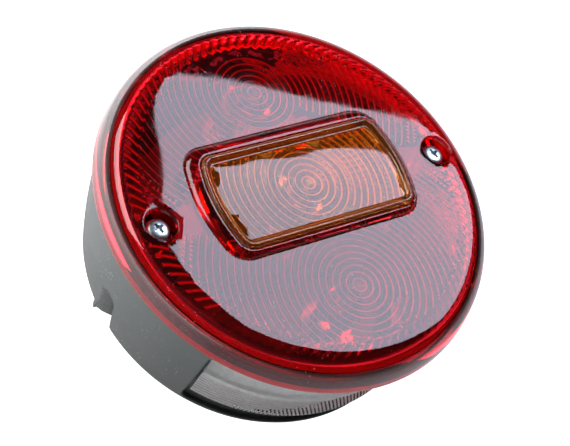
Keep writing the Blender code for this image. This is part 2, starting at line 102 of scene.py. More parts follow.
HOUSING_TOP = box_mm("housing_shell")[1].z
REAR_RADIUS = 60.5
FRONT_RADIUS = 67.9
WALL_BULGE = 1.0
WALL = 3.0
FLOOR = 2.5
REAR_ROUND = 2.2  # width of the rounding at the rear edge
REAR_RISE = 1.6  # and its height
PLATE_HALF_ANGLE = 52.0
PLATE_RECESS_RADIUS = 59.0
PLATE_RECESS_Z = (3.5, 41.0)
PLATE_OPENING_Z = (15.5, 37.5)
PLATE_OPENING_ANGLE = 46.0
PLATE_INNER_RADIUS = 60.3
PLATE_RIDGE_Z = 25.0
PLATE_RIB_TOP = PLATE_RIDGE_Z - 1.1
PLATE_RIB_PITCH = 1.4
PLATE_RIB_END = 10.6
ARC_RADIUS = 62.0  # distances along the wall are measured at this radius

NOTCH_HALF_WIDTH = 5.2  # of the tunnel behind the notch
NOTCH_TOP = 19.0
TUNNEL_WALL = 2.8
TUNNEL_END_X = -38.5
POSTS = ((40.0, 25.0), (-40.0, 25.0), (34.0, -27.0), (-34.0, -27.0))
MOUNTING_HOLES = ((-22.5, 24.5), (22.5, 24.5))
CARRIER_LOW = 16.0

OPTIC_Y = 38.5  # centres of the upper and lower ring optics, above and below the middle
BULB_Y = {"stop": OPTIC_Y, "indicator": 0.0, "tail": -OPTIC_Y}
GLASS_WALL = 0.6
RING_PITCH = 2.4
RING_DEPTH = 0.50
FULL_RINGS = {1: 6, -1: 10}  # whole circles round the upper and the lower centre, then only arcs
FULL_RADIUS = {1: 15.6, -1: 25.5}  # between the last whole circle and the first arcs
RED_ARC = 33.0  # degrees from the X axis at which the arcs begin to fade
AMBER_PITCH = 2.4
AMBER_DEPTH = 0.55
AMBER_FULL_RINGS = 6
AMBER_ARC = 42.0
STEP_HALF = 0.24  # half the width of a ring's steep side
FLUTES = 104
FLUTE_DEPTH = 0.55
FLUTE_RISE = 0.625  # share of a flute's pitch that its slow side takes
FLUTE_MIDDLE = 60.0  # radius at which the slant counts from nil
FLUTE_SLANT = 0.015  # radians of turn for each millimetre inwards
MATT_SIDE = (98.0, 212.0)  # degrees between which the flutes have matt flanks

GRID_ROW = 0.866  # distance of the rows of a triangular grid, in pitches
FLOOR_WHITE = 1.3  # glow of the floor as the camera sees it
BACKDROP_WHITE = 1.2

# ---------------------------------------------------------------- curves


def smooth_path(points, steps):
    """Catmull-Rom curve through the points, with steps points for each span."""
    ends = [points[0]] + list(points) + [points[-1]]
    path = []
    for before, start, end, after in zip(ends, ends[1:], ends[2:], ends[3:]):
        for k in range(steps):
            t = k / steps
            spot = []
            for p0, p1, p2, p3 in zip(before, start, end, after):
                bend = 2 * p0 - 5 * p1 + 4 * p2 - p3
                curl = 3 * p1 - p0 - 3 * p2 + p3
                spot.append(0.5 * (2 * p1 + (p2 - p0) * t + bend * t * t + curl * t**3))
            path.append(tuple(spot))
    return path + [tuple(points[-1])]


def circle(radius, steps, at=(0.0, 0.0)):
    turns = [2 * pi * k / steps for k in range(steps)]
    return [(at[0] + radius * cos(t), at[1] + radius * sin(t)) for t in turns]


def window_outline(inset, corner_steps=9, side_steps=9, edge_steps=30):
    """The amber window's outline, offset inwards by inset (outwards where negative)."""
    side_radius = (WINDOW_HALF_HEIGHT**2 + WINDOW_BOW**2) / (2 * WINDOW_BOW)
    side_centre = WINDOW_HALF_WIDTH - side_radius
    corner_y = WINDOW_HALF_HEIGHT - WINDOW_CORNER
    reach = side_radius - WINDOW_CORNER
    corner_x = side_centre + sqrt(reach**2 - corner_y**2)
    tangent = asin(corner_y / reach)
    quarter = []
    for k in range(side_steps):
        turn = tangent * k / side_steps
        radius = side_radius - inset
        quarter.append((side_centre + radius * cos(turn), radius * sin(turn)))
    for k in range(corner_steps + 1):
        turn = tangent + (pi / 2 - tangent) * k / corner_steps
        radius = WINDOW_CORNER - inset
        quarter.append((corner_x + radius * cos(turn), corner_y + radius * sin(turn)))
    end_x, top = quarter[-1]
    edge = [(end_x * (1 - 2 * k / edge_steps), top) for k in range(1, edge_steps)]
    upper = quarter + edge + [(-x, y) for x, y in reversed(quarter[1:])]
    upper.append((-quarter[0][0], 0.0))
    return upper + [(x, -y) for x, y in reversed(upper[1:-1])]


def collar_outline(share):
    """Outline on the collar's slope: 0 at its crest beside the window, 1 at its foot."""
    lean = COLLAR_LEAN * share
    outline = window_outline(-0.5 - (COLLAR_FOOT - 0.5) * share, 18, 18, 84)
    return [(x - lean, y + lean) for x, y in outline]


def wall_radius(z):
    """Outer radius of the housing wall: a slightly bulged cone."""
    t = z / HOUSING_TOP
    return REAR_RADIUS + (FRONT_RADIUS - REAR_RADIUS) * t + WALL_BULGE * 4 * t * (1 - t)


# The lens edge as (radius, z), outside and inside
SHOULDER = [(60.0, 57.35), (FACE_RADIUS, 57.12), (64.0, 56.48), (65.8, 55.45), (67.4, 53.9)]
SHOULDER += [(68.7, 51.8), (69.5, 49.0), (69.95, 46.3), (LENS_RADIUS, RIM_Z + 0.3)]
OUTER_PATH = [(min(radius, LENS_RADIUS), z) for radius, z in smooth_path(SHOULDER, 5)]
INNER_SHOULDER = [(INNER_FACE_RADIUS, 54.9), (60.3, 54.75), (61.8, 54.2), (63.0, 53.2), (63.7, 51.6)]
INNER_PATH = smooth_path(INNER_SHOULDER + [(63.9, 49.6)], 5)


def path_height(path, radius):
    radii, heights = zip(*path)
    return float(np.interp(radius, radii, heights))


def outer_height(x, y):
    """Front of the lens: a shallow dome with faint sink marks, then the rounded edge."""
    radius = hypot(x, y)
    if radius <= SHOULDER[0][0]:
        height = FACE_Z + CROWN * (1 - (radius / FACE_RADIUS) ** 2)
    else:
        height = path_height(OUTER_PATH, radius)
    swell = sin(0.21 * x + 1.0) * sin(0.17 * y + 0.4) + 0.5 * sin(0.33 * x - 0.29 * y + 2.0)
    return height + 0.006 * swell * min(1.0, max(0.0, (62.5 - radius) / 6.0))


def inner_height(x, y):
    radius = hypot(x, y)
    if radius <= INNER_FACE_RADIUS:
        return INNER_FACE_Z - CROWN * (radius / INNER_FACE_RADIUS) ** 2
    return path_height(INNER_PATH, radius)


# ---------------------------------------------------------------- mesh building


def inside(points, outline):
    """Which of the points lie within the outline, by the even-odd rule."""
    x, y = points[:, 0], points[:, 1]
    found = np.zeros(len(points), bool)
    corners = np.array(outline)
    for (x0, y0), (x1, y1) in zip(corners, np.roll(corners, -1, 0)):
        if y0 != y1:
            found ^= ((y0 > y) != (y1 > y)) & (x < (x1 - x0) * (y - y0) / (y1 - y0) + x0)
    return found


def distance(points, outlines):
    """Distance from each point to the nearest corner of the densely drawn outlines."""
    corners = np.array([corner for outline in outlines for corner in outline])
    nearest = np.empty(len(points))
    for start in range(0, len(points), 2000):
        part = points[start:start + 2000]
        gaps = part[:, None, :] - corners[None, :, :]
        nearest[start:start + 2000] = np.sqrt((gaps**2).sum(2)).min(1)
    return nearest


def in_region(points, outlines, margin):
    """The points inside the first outline and outside the others, with a margin to all."""
    spots = np.array(points, float).reshape(-1, 2)
    keep = inside(spots, outlines[0]) & (distance(spots, outlines) > margin)
    for hole in outlines[1:]:
        keep &= ~inside(spots, hole)
    return spots[keep]


def runs(points, keep):
    """The unbroken stretches of a line's kept points, of two points or more."""
    found = []
    run = []
    for point, kept in zip(points, keep):
        if kept:
            run.append(point)
        else:
            found.append(run)
            run = []
    found.append(run)
    return [run for run in found if len(run) > 1]


def honeycomb(reach, pitch):
    """Points on a triangular grid over a square of half width reach."""
    rows = int(reach / (pitch * GRID_ROW)) + 1
    across = int(reach / pitch) + 1
    points = []
    for j in range(-rows, rows + 1):
        for i in range(-across, across + 1):
            points.append(((i + 0.5 * (j % 2)) * pitch, j * pitch * GRID_ROW))
    return points


class Shape:
    """Points in millimetres and the faces between them, gathered ring by ring."""

    def __init__(self):
        self.points = []
        self.faces = []
        self.frosted = set()

    def frost(self, first, chosen, lowest=1000.0):
        """Give the second finish to faces from first on, below lowest, whose middle is chosen."""
        for index in range(first, len(self.faces)):
            corners = [self.points[i] for i in self.faces[index]]
            x, y, z = (sum(values) / len(corners) for values in zip(*corners))
            if z < lowest and chosen(x, y):
                self.frosted.add(index)

    def ring(self, points):
        start = len(self.points)
        self.points.extend(points)
        return list(range(start, len(self.points)))

    def bridge(self, low, high, closed=True):
        count = len(low)
        for i in range(count if closed else count - 1):
            j = (i + 1) % count
            self.faces.append((low[i], low[j], high[j], high[i]))

    def loft(self, rings, start=None, end=None, closed=True):
        """Skin through rings of points, from an existing loop and to one where given."""
        loops = [start] if start else []
        loops += [self.ring(points) for points in rings]
        loops += [end] if end else []
        for low, high in zip(loops, loops[1:]):
            self.bridge(low, high, closed)
        return loops

    def fan(self, loop, peak):
        tip = self.ring([peak])[0]
        for i, corner in enumerate(loop):
            self.faces.append((corner, loop[(i + 1) % len(loop)], tip))

    def turned(self, profile, steps, at=(0.0, 0.0), closed=True):
        """Turn a (radius, z) profile about a vertical axis; it may start or end on the axis."""
        rings = []
        for radius, z in profile:
            if radius > 1e-6:
                rings.append([(x, y, z) for x, y in circle(radius, steps, at)])
        loops = self.loft(rings)
        if profile[0][0] <= 1e-6:
            self.fan(loops[0], (at[0], at[1], profile[0][1]))
        if profile[-1][0] <= 1e-6:
            self.fan(loops[-1], (at[0], at[1], profile[-1][1]))
        elif closed and profile[0][0] > 1e-6:
            self.bridge(loops[-1], loops[0])
        return self

    def sheet(self, outlines, lift, fill=(), chains=()):
        """Triangles between an outer outline and its holes, through chains and fill points."""
        flat = [point for outline in outlines for point in outline]
        edges = []
        start = 0
        for outline in outlines:
            count = len(outline)
            edges += [(start + i, start + (i + 1) % count) for i in range(count)]
            start += count
        for chain in chains:
            edges += [(len(flat) + i, len(flat) + i + 1) for i in range(len(chain) - 1)]
            flat += chain
        flat += [tuple(point) for point in fill]
        found = delaunay_2d_cdt([Vector(point) for point in flat], edges, [], 0, 1e-6)
        spots, faces, origins = found[0], found[2], found[3]
        centres = [sum((spots[i] for i in face), Vector((0, 0))) / len(face) for face in faces]
        middles = np.array(centres)
        keep = inside(middles, outlines[0])
        for hole in outlines[1:]:
            keep &= ~inside(middles, hole)
        base = len(self.points)
        self.points.extend(lift(x, y) for x, y in spots)
        self.faces.extend(tuple(base + i for i in face) for face, kept in zip(faces, keep) if kept)
        where = {source: base + k for k, sources in enumerate(origins) for source in sources}
        loops = []
        start = 0
        for outline in outlines:
            loops.append([where[start + i] for i in range(len(outline))])
            start += len(outline)
        return loops


def build(name, shape, paint, body, stands_for=(), sharp=32.0, frost=None):
    """Turn a shape into a piece of the lamp that rides on a body."""
    mesh = bpy.data.meshes.new(name)
    mesh.from_pydata([(x * MM, y * MM, z * MM) for x, y, z in shape.points], [], shape.faces)
    for index in shape.frosted:
        mesh.polygons[index].material_index = 1
    bm = bmesh.new()
    bm.from_mesh(mesh)
    bmesh.ops.delete(bm, geom=[v for v in bm.verts if not v.link_faces], context="VERTS")
    bmesh.ops.remove_doubles(bm, verts=bm.verts, dist=1e-7)
    bmesh.ops.recalc_face_normals(bm, faces=bm.faces)
    bm.to_mesh(mesh)
    bm.free()
    mesh.shade_smooth()
    mesh.set_sharp_from_angle(angle=radians(sharp))
    piece = bpy.data.objects.new(name, mesh)
    bpy.context.scene.collection.objects.link(piece)
    piece.data.materials.append(paint)
    if frost:
        piece.data.materials.append(frost)
    if body:
        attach(piece, body)
    if stands_for:
        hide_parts(*stands_for)
    return piece


def carve(piece, cutters, operation="DIFFERENCE", sharp=32.0):
    """Apply Booleans with closed shapes, then shade the result again."""
    for index, cutter in enumerate(cutters):
        tool = build(f"cutter_{index}", cutter, piece.data.materials[0], None)
        step = piece.modifiers.new("carve", "BOOLEAN")
        step.operation = operation
        step.solver = "EXACT"
        step.object = tool
        bpy.context.view_layer.update()
        carved = piece.evaluated_get(bpy.context.evaluated_depsgraph_get())
        result = bpy.data.meshes.new_from_object(carved)
        piece.modifiers.clear()
        piece.data = result
        bpy.data.objects.remove(tool)
    piece.data.shade_smooth()
    piece.data.set_sharp_from_angle(angle=radians(sharp))
    return piece


# ---------------------------------------------------------------- materials


class Nodes:
    """A node tree with short calls for its texture nodes; place holds their coordinates."""

    def __init__(self, tree, place):
        self.tree = tree
        self.place = self.node("ShaderNodeTexCoord").outputs[place]

    def node(self, kind, **settings):
        made = self.tree.nodes.new(kind)
        for key, value in settings.items():
            setattr(made, key, value)
        return made

    def link(self, source, target):
        self.tree.links.new(source, target)

    def spread(self, source, low, high, to_low, to_high):
        made = self.node("ShaderNodeMapRange")
        self.link(source, made.inputs["Value"])
        for key, value in (("From Min", low), ("From Max", high), ("To Min", to_low), ("To Max", to_high)):
            made.inputs[key].default_value = value
        return made.outputs["Result"]

    def towards(self, direction):
        """How far a place lies in a direction."""
        made = self.node("ShaderNodeVectorMath", operation="DOT_PRODUCT")
        self.link(self.place, made.inputs[0])
        made.inputs[1].default_value = direction
        return made.outputs["Value"]

    def product(self, first, second):
        made = self.node("ShaderNodeMath", operation="MULTIPLY")
        self.link(first, made.inputs[0])
        self.link(second, made.inputs[1])
        return made.outputs[0]


class Paint(Nodes):
    """A node material with a Principled shader, whose sockets are called by their names."""

    def __init__(self, name, colour, roughness, metallic=0.0, transmission=0.0, ior=1.5):
        self.material = bpy.data.materials.new(name)
        self.material.use_nodes = True
        super().__init__(self.material.node_tree, "Object")
        self.shader = self.tree.nodes["Principled BSDF"]
        self.set("Base Color", (*colour, 1.0))
        self.set("Roughness", roughness)
        self.set("Metallic", metallic)
        self.set("Transmission Weight", transmission)
        self.set("IOR", ior)

    def set(self, socket, value):
        self.shader.inputs[socket].default_value = value

    def link(self, source, target):
        super().link(source, self.shader.inputs[target] if isinstance(target, str) else target)

    def noise(self, scale, detail=3.0, roughness=0.55):
        made = self.node("ShaderNodeTexNoise")
        made.inputs["Scale"].default_value = scale
        made.inputs["Detail"].default_value = detail
        made.inputs["Roughness"].default_value = roughness
        self.link(self.place, made.inputs["Vector"])
        return made.outputs["Fac"]

    def specks(self, scale, size, few=0.56, stretch=(1.0, 1.0, 1.0), turn=(0.0, 0.0, 0.0)):
        """Scattered dots, or short scratches where stretched: 1 in a few cells, 0 elsewhere."""
        turned = self.node("ShaderNodeMapping")
        turned.inputs["Rotation"].default_value = turn
        turned.inputs["Scale"].default_value = stretch
        self.link(self.place, turned.inputs["Vector"])
        cells = self.node("ShaderNodeTexVoronoi")
        cells.inputs["Scale"].default_value = scale
        self.link(turned.outputs["Vector"], cells.inputs["Vector"])
        dots = self.spread(cells.outputs["Distance"], size, size * 0.4, 0.0, 1.0)
        chosen = self.spread(self.noise(scale * 0.13, 2.0), few, few + 0.08, 0.0, 1.0)
        return self.product(dots, chosen)

    def blend(self, factor, first, second):
        """Mix two colours; each is a colour or another node's output."""
        made = self.node("ShaderNodeMix", data_type="RGBA")
        self.link(factor, made.inputs["Factor"])
        for key, value in ((6, first), (7, second)):
            if isinstance(value, tuple):
                made.inputs[key].default_value = (*value[:3], 1.0)
            else:
                self.link(value, made.inputs[key])
        return made.outputs[2]

    def let_lamps_through(self, tint):
        """Shadow rays pass straight through with a tint, so that lamps light what is behind."""
        path = self.node("ShaderNodeLightPath")
        clear = self.node("ShaderNodeBsdfTransparent")
        clear.inputs["Color"].default_value = (*tint, 1.0)
        choice = self.node("ShaderNodeMixShader")
        self.link(path.outputs["Is Shadow Ray"], choice.inputs["Fac"])
        self.link(self.shader.outputs["BSDF"], choice.inputs[1])
        self.link(clear.outputs["BSDF"], choice.inputs[2])
        self.link(choice.outputs["Shader"], self.tree.nodes["Material Output"].inputs["Surface"])

    def drift(self, scale, detail=3.0, roughness=0.55):
        """Slow patches between 0 and 1, for a finish that varies from place to place."""
        return self.spread(self.noise(scale, detail, roughness), 0.35, 0.65, 0.0, 1.0)

    def bump(self, height, depth_mm):
        made = self.node("ShaderNodeBump")
        made.inputs["Strength"].default_value = 1.0
        made.inputs["Distance"].default_value = depth_mm * MM
        self.link(height, made.inputs["Height"])
        self.link(made.outputs["Normal"], "Normal")


def tinted_plastic(name, colour, dusty, clarity=1.0, through=0.7):
    """Clear moulded plastic with a tint, faint flow marks and a few specks of dust."""
    paint = Paint(name, colour, 0.03, transmission=1.0, ior=1.49)
    dust = paint.specks(620.0, 0.13, 0.50)
    shade = tuple(0.86 * value for value in colour)
    tint = paint.blend(paint.drift(45.0, 2.0), colour, shade)
    paint.link(paint.blend(dust, tint, dusty), "Base Color")
    paint.link(paint.spread(dust, 0.0, 1.0, clarity, 0.25), "Transmission Weight")
    paint.link(paint.spread(paint.noise(160.0, 4.0), 0.3, 0.75, 0.015, 0.05), "Roughness")
    paint.bump(paint.noise(60.0, 2.0), 0.010)
    paint.let_lamps_through(tuple(through * value for value in colour))
    return paint.material


def frosted(name, first, second):
    """Matt moulded steps of a clear part, which catch the light from above."""
    paint = Paint(name, first, 0.5)
    paint.link(paint.blend(paint.drift(500.0), first, second), "Base Color")
    paint.link(paint.spread(paint.noise(700.0, 2.0), 0.3, 0.7, 0.4, 0.6), "Roughness")
    paint.bump(paint.noise(1500.0, 2.0), 0.01)
    return paint.material


def housing_plastic():
    """Black moulded plastic, greyed by a film of dust with specks and short scratches."""
    paint = Paint("housing_plastic", (0.050, 0.058, 0.056), 0.55)
    film = paint.spread(paint.noise(28.0, 5.0, 0.6), 0.35, 0.7, 0.0, 1.0)
    plastic = paint.blend(film, (0.038, 0.046, 0.045), (0.068, 0.080, 0.078))
    layers = paint.blend(paint.specks(620.0, 0.20, 0.54), plastic, (0.34, 0.37, 0.36))
    layers = paint.blend(paint.specks(1300.0, 0.22, 0.50), layers, (0.22, 0.24, 0.23))
    steep = ((1.0, 1.0, 0.16), (0.5, 0.2, 0.0))
    level = ((0.16, 1.0, 1.0), (0.0, 0.6, 0.4))
    for stretch, turn in (steep, level):
        scratches = paint.specks(760.0, 0.13, 0.55, stretch, turn)
        layers = paint.blend(scratches, layers, (0.26, 0.28, 0.27))
    paint.link(layers, "Base Color")
    paint.link(paint.spread(film, 0.0, 1.0, 0.46, 0.66), "Roughness")
    paint.bump(paint.noise(900.0, 3.0, 0.6), 0.045)
    return paint.material


def matt(name, first, second, scale, roughness, grain, depth_mm, metallic=0.0):
    """Opaque finish whose colour drifts between two tones, over a fine grain."""
    paint = Paint(name, first, roughness, metallic)
    paint.link(paint.blend(paint.drift(scale, 4.0), first, second), "Base Color")
    gloss = paint.spread(paint.noise(scale * 3.0), 0.3, 0.7, roughness * 0.8, roughness * 1.25)
    paint.link(gloss, "Roughness")
    paint.bump(paint.noise(grain, 3.0), depth_mm)
    return paint.material


def make_paints():
    """One finish for each material slot of the record."""
    clear = {
        "red_plastic": ((0.80, 0.012, 0.024), (0.9, 0.6, 0.6), 0.985, 0.22),
        "amber_plastic": ((0.98, 0.36, 0.03), (0.95, 0.85, 0.7), 0.96, 0.38),
        "clear_plastic": ((0.93, 0.95, 0.95), (0.95, 0.95, 0.95)),
        "bulb_glass": ((0.97, 0.98, 0.98), (0.9, 0.9, 0.9)),
    }
    solid = {
        "seal_rubber": ((0.018, 0.018, 0.019), (0.032, 0.031, 0.030), 60.0, 0.75, 1200.0, 0.03),
        # Painted shade: the white reflector plastic is given a mid grey, for the dim light inside the
        # housing.
        "reflector_plastic": ((0.38, 0.38, 0.37), (0.30, 0.30, 0.29), 30.0, 0.38, 900.0, 0.015),
        "phenolic_board": ((0.20, 0.10, 0.045), (0.28, 0.14, 0.06), 200.0, 0.5, 700.0, 0.02),
        "brass": ((0.80, 0.58, 0.27), (0.66, 0.46, 0.22), 90.0, 0.3, 1500.0, 0.01, 1.0),
        "tinned_steel": ((0.66, 0.66, 0.65), (0.52, 0.52, 0.52), 80.0, 0.32, 1500.0, 0.01, 1.0),
        "zinc_plating": ((0.42, 0.54, 0.58), (0.56, 0.62, 0.62), 260.0, 0.30, 1100.0, 0.03, 1.0),
        "nickel": ((0.72, 0.69, 0.63), (0.62, 0.59, 0.54), 90.0, 0.24, 1500.0, 0.008, 1.0),
    }
    paints = {name: tinted_plastic(name, *finish) for name, finish in clear.items()}
    paints["housing_plastic"] = housing_plastic()
    paints.update({name: matt(name, *finish) for name, finish in solid.items()})
    return paints


# ---------------------------------------------------------------- red lens


def side_angle(x, y):
    """Degrees between a direction and the nearer half of the X axis."""
    return abs(degrees(atan2(y, abs(x)))) if x or y else 90.0


def ring_chains(centre, radii, spread, outlines, margin):
    """Crest and valley lines of ring prisms, kept to the region and to the given angles."""
    chains = []
    for radius in radii:
        for offset in (-STEP_HALF, STEP_HALF):
            reach = radius + offset
            count = max(24, int(2 * pi * reach / 1.1))
            points = circle(reach, count, centre)
            points.append(points[0])
            spots = np.array(points)
            keep = inside(spots, outlines[0]) & (distance(spots, outlines) > margin)
            for hole in outlines[1:]:
                keep &= ~inside(spots, hole)
            if spread is not None:
                away = [side_angle(x - centre[0], y - centre[1]) for x, y in points]
                keep &= np.array(away) < spread
            chains += runs(points, keep)
    return chains


def fade(value, start, width):
    """0 up to start, then rising smoothly to 1 over width."""
    t = min(1.0, max(0.0, (value - start) / width))
    return t * t * (3 - 2 * t)


def saw(radius, pitch):
    """Slow rise over each pitch, then a short drop of two STEP_HALF centred on its end."""
    drop = STEP_HALF / pitch
    share = (radius / pitch) % 1.0
    if share < drop:
        return 0.5 - 0.5 * share / drop
    if share > 1 - drop:
        return 0.5 + 0.5 * (1 - share) / drop
    return (share - drop) / (1 - 2 * drop)


def on_step(radius, pitch):
    share = (radius / pitch + 0.5) % 1.0 - 0.5
    return radius > pitch * 0.5 and abs(share) * pitch < STEP_HALF


def flute_place(x, y):
    """Place across a slanting flute of the rim: 0 to 1 from one steep side to the next."""
    turn = atan2(y, x) + FLUTE_SLANT * (hypot(x, y) - FLUTE_MIDDLE)
    return (turn * FLUTES / (2 * pi)) % 1.0


def flute_wave(x, y):
    """Sawtooth round the rim: 0 to 1 along each flute, then back at its steep side."""
    place = flute_place(x, y)
    return place / FLUTE_RISE if place < FLUTE_RISE else (1 - place) / (1 - FLUTE_RISE)


def flute_share(x, y):
    """Where the flutes stand: a band inside the rim, clear of the screw pillars."""
    radius = hypot(x, y)
    band = fade(radius, 57.3, 0.9) * (1 - fade(radius, 61.6, 0.9))
    return band * fade(hypot(abs(x) - SCREW_X, y) - PILLAR_RADIUS, 0.2, 0.6)


def on_matt_side(x, y):
    return MATT_SIDE[0] < degrees(atan2(y, x)) % 360 < MATT_SIDE[1]


def red_step(x, y):
    """Whether a place is on the steep, matt side of a ring prism or a flute."""
    if hypot(x, y) > 57.6:
        return on_matt_side(x, y) and flute_place(x, y) > FLUTE_RISE and flute_share(x, y) > 0.3
    centre_y = OPTIC_Y if y > 0 else -OPTIC_Y
    radius = hypot(x, y - centre_y)
    return on_step(radius, RING_PITCH) and red_optics_depth(x, y, 9.0) > 0.02


def red_optics_depth(x, y, edge_gap):
    """How far the prisms stand down from the inner face at a place."""
    side = 1 if y > 0 else -1
    away_y = y - side * OPTIC_Y
    radius = hypot(x, away_y)
    depth = RING_DEPTH * saw(radius, RING_PITCH)
    if radius > FULL_RADIUS[side]:
        depth *= 1.0 - fade(side_angle(x, away_y), RED_ARC, 5.0)
    elif radius < RING_PITCH * 0.5:
        depth = 0.0
    return depth * fade(edge_gap, 0.5, 0.6) * fade(abs(y), 5.0, 3.0)


def red_ring_lines(holes):
    """Lines of both sets of ring prisms, each set kept to its own half of the lens."""
    region = [circle(OPTICS_RADIUS, 240)] + holes
    lines = []
    for side in (1, -1):
        half_plane = [(-90.0, side * 6.0), (90.0, side * 6.0), (90.0, side * 90.0), (-90.0, side * 90.0)]
        full = FULL_RINGS[side]
        near = [RING_PITCH * k for k in range(1, full + 1)]
        far = [RING_PITCH * k for k in range(full + 1, 24)]
        for radii, spread in ((near, None), (far, RED_ARC + 4.0)):
            for chain in ring_chains((0.0, side * OPTIC_Y), radii, spread, region, 0.7):
                lines += runs(chain, inside(np.array(chain), half_plane))
    return lines


def flute_points():
    """Points on rings across the rim's flutes, eight to a flute, shifted along its slant."""
    points = []
    for radius in np.arange(57.2, 62.9, 0.6):
        slant = FLUTE_SLANT * (radius - FLUTE_MIDDLE)
        turns = [2 * pi * k / (FLUTES * 8) - slant for k in range(FLUTES * 8)]
        points += [(radius * cos(t), radius * sin(t)) for t in turns]
    return points


def add_lens_front(shape, holes):
    """The front face; returns its loops of corners: edge, collar foot and the two wells."""
    outlines = [circle(WALL_RADIUS, 360)] + holes
    fill = [point for point in in_region(honeycomb(61.0, 2.0), outlines, 0.9) if hypot(*point) < 60.0]
    rim = [point for radius in (61.0, 62.0, 62.6) for point in circle(radius, 300)]
    fill += list(in_region(rim, outlines, 0.35))
    return shape.sheet(outlines, lambda x, y: (x, y, outer_height(x, y)), fill)


def add_lens_underside(shape, holes):
    """The inner face with ring prisms and flutes; returns its loops of corners."""
    outlines = [circle(INNER_RADIUS, 360)] + holes
    chains = red_ring_lines(holes)
    fill = in_region(honeycomb(58.0, 1.6), [circle(OPTICS_RADIUS, 300)] + holes, 0.8)
    fill = fill[distance(fill, chains) > 0.75]
    fill = list(fill) + list(in_region(flute_points(), outlines, 0.3))

    def fluted(x, y):
        return (x, y, inner_height(x, y) - FLUTE_DEPTH * flute_wave(x, y) * flute_share(x, y))

    first_point = len(shape.points)
    first_face = len(shape.faces)
    loops = shape.sheet(outlines, fluted, fill, chains)
    plan = np.array([point[:2] for point in shape.points[first_point:]])
    gaps = distance(plan, [circle(58.4, 300)] + holes)
    for index, gap in enumerate(gaps, first_point):
        x, y, z = shape.points[index]
        if hypot(x, y) < 58.3:
            shape.points[index] = (x, y, z - red_optics_depth(x, y, gap))
    shape.frost(first_face, red_step)
    return loops


def add_lens_rim(shape, start, end):
    """Shoulder, skirt, matt underside and inner wall."""
    profile = [(r, z) for r, z in OUTER_PATH if r > WALL_RADIUS + 0.1]
    profile += [(LENS_RADIUS - 0.25, RIM_Z), (FOOT_RADIUS, RIM_Z), (63.25, RIM_Z), (63.0, RIM_Z + 0.25)]
    profile += [(63.0, 47.9), (63.3, 48.15), (63.75, 48.5)]
    profile += [(r, z) for r, z in reversed(INNER_PATH) if r > INNER_RADIUS + 0.1]
    first_face = len(shape.faces)
    shape.loft([[(x, y, z) for x, y in circle(r, 360)] for r, z in profile], start, end)
    shape.frost(first_face, lambda x, y: FOOT_RADIUS < hypot(x, y), lowest=RIM_Z + 0.2)


def add_collar(shape, window, start, end):
    """Rounded collar that rises from the front face to the amber window."""
    crest = AMBER_FACE
    rings = []
    for share, rise in ((0.95, 0.16), (0.80, 0.42), (0.60, 0.67), (0.40, 0.85), (0.22, 0.96), (0.09, 1.0)):
        ring = []
        for x, y in collar_outline(share):
            ring.append((x, y, min(crest, outer_height(x, y) + (crest - 57.75) * rise)))
        rings.append(ring)
    rings.append([(x, y, crest - 0.05) for x, y in collar_outline(0.0)])
    rings.append([(x, y, crest - 0.3) for x, y in window])
    shape.loft(rings, start, end)


def add_screw_well(shape, x, start, end):
    """Round well for a screw head: rolled lip, seat, screw hole and the pillar round it."""
    rings = []
    for k in range(1, 6):
        turn = pi / 2 * k / 5
        radius = WELL_RADIUS + WELL_LIP * (1 - sin(turn))
        drop = WELL_LIP * (1 - cos(turn))
        rings.append([(a, b, outer_height(a, b) - drop) for a, b in circle(radius, 48, (x, 0.0))])
    profile = [(WELL_RADIUS, SEAT_Z + 0.4), (WELL_RADIUS - 0.12, SEAT_Z + 0.12), (WELL_RADIUS - 0.4, SEAT_Z)]
    profile += [(2.7, SEAT_Z), (2.5, SEAT_Z - 0.2), (2.5, RIM_Z + 0.3), (2.7, RIM_Z + 0.1)]
    profile += [(PILLAR_RADIUS - 0.25, RIM_Z + 0.1), (PILLAR_RADIUS, RIM_Z + 0.35)]
    rings += [[(a, b, z) for a, b in circle(r, 48, (x, 0.0))] for r, z in profile]
    shape.loft(rings, start, end)


def make_red_lens(paint, frost):
    shape = Shape()
    centres = [(-SCREW_X, 0.0), (SCREW_X, 0.0)]
    window = window_outline(-WINDOW_GAP, 18, 18, 84)
    mouths = [circle(WELL_RADIUS + WELL_LIP, 48, centre) for centre in centres]
    pillars = [circle(PILLAR_RADIUS, 48, centre) for centre in centres]
    front = add_lens_front(shape, [collar_outline(1.0)] + mouths)
    under = add_lens_underside(shape, [window] + pillars)
    add_lens_rim(shape, front[0], under[0])
    add_collar(shape, window, front[1], under[1])
    for centre, mouth, pillar in zip(centres, front[2:], under[2:]):
        add_screw_well(shape, centre[0], mouth, pillar)
    return build("lens_moulding", shape, paint, "lens", ["red_lens"], frost=frost)


# ---------------------------------------------------------------- amber window


def amber_step(x, y):
    radius = hypot(x, y)
    return on_step(radius, AMBER_PITCH) and (radius < 15.6 or side_angle(x, y) < AMBER_ARC + 4.0)


def amber_optics_depth(x, y, edge_gap):
    """How far the prisms and their knurl stand down from the window's inner face."""
    radius = hypot(x, y)
    depth = AMBER_DEPTH * saw(radius, AMBER_PITCH)
    if radius < AMBER_PITCH * 0.5:
        depth = 0.0
    if radius > 15.5:
        depth *= 1.0 - fade(side_angle(x, y), AMBER_ARC, 8.0)
    if 5.2 < radius < 7.7 or 10.4 < radius < 12.9 or radius > 15.6:
        teeth = max(1, round(radius / 0.35))
        depth += 0.16 * abs(2 * ((atan2(y, x) * teeth / (2 * pi)) % 1.0) - 1)
    return depth * fade(edge_gap, 0.3, 0.6)


